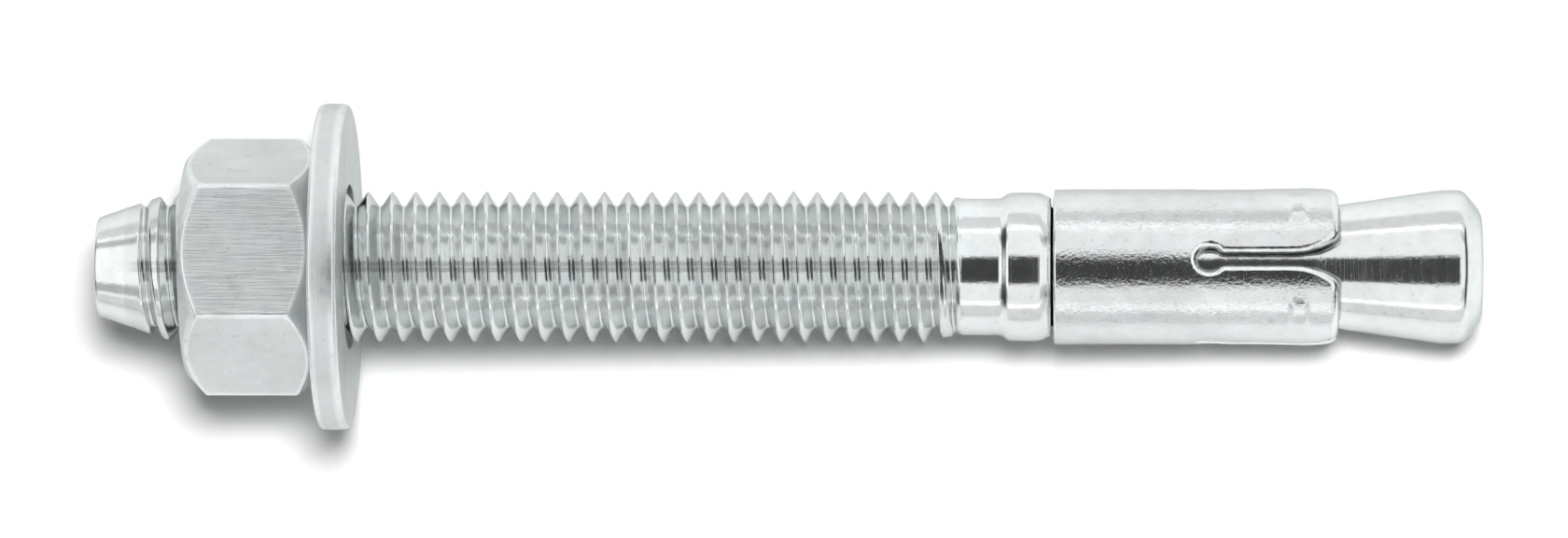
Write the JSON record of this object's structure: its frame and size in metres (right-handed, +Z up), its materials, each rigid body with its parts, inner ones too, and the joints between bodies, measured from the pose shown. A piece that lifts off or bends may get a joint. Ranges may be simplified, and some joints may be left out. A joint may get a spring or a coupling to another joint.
{
  "type": "wedge anchor",
  "caption": "Wedge anchor for concrete: a threaded stud with an expansion cone, a slotted clip round its neck, a flat washer and a hex nut.",
  "frame": {"origin": "centre of the underside of the anchor's box, on the surface it lies on", "axes": "+X along the stud towards its cone as seen from above, +Y across it, +Z up; the stud's axis falls about 4.2 degrees towards the cone, because the washer holds the other end up"},
  "size_m": [0.1144, 0.027, 0.027],
  "materials": {
    "zinc_stud": "bright zinc plate on rolled and cold formed carbon steel",
    "zinc_clip": "bright zinc plate on stamped carbon steel strip",
    "zinc_washer": "bright zinc plate on punched carbon steel",
    "zinc_nut": "bright zinc plate on forged carbon steel, satin faces"
  },
  "bodies": {
    "stud": {"anchor_bolt": "zinc_stud"},
    "clip": {"expansion_clip": "zinc_clip"},
    "washer": {"washer": "zinc_washer"},
    "nut": {"hex_nut": "zinc_nut"}
  },
  "joints": [
    {"name": "washer_slide", "type": "slide", "parent": "stud", "child": "washer", "axis": [0.9974, 0, -0.0727], "range_m": [-0.0065, 0.05]},
    {"name": "nut_turn", "type": "hinge", "parent": "washer", "child": "nut", "pos_m": [-0.04414, 0, 0.01353], "axis": [0.9974, 0, -0.0727], "range_deg": [-1190, 9200]},
    {"name": "clip_turn", "type": "hinge", "parent": "stud", "child": "clip", "pos_m": [0.0335, 0, 0.00775], "axis": [0.9974, 0, -0.0727], "continuous": true}
  ],
  "couplings": [
    {"joint": "washer_slide", "follows": "nut_turn", "m_per_rad": 0.00031096}
  ]
}
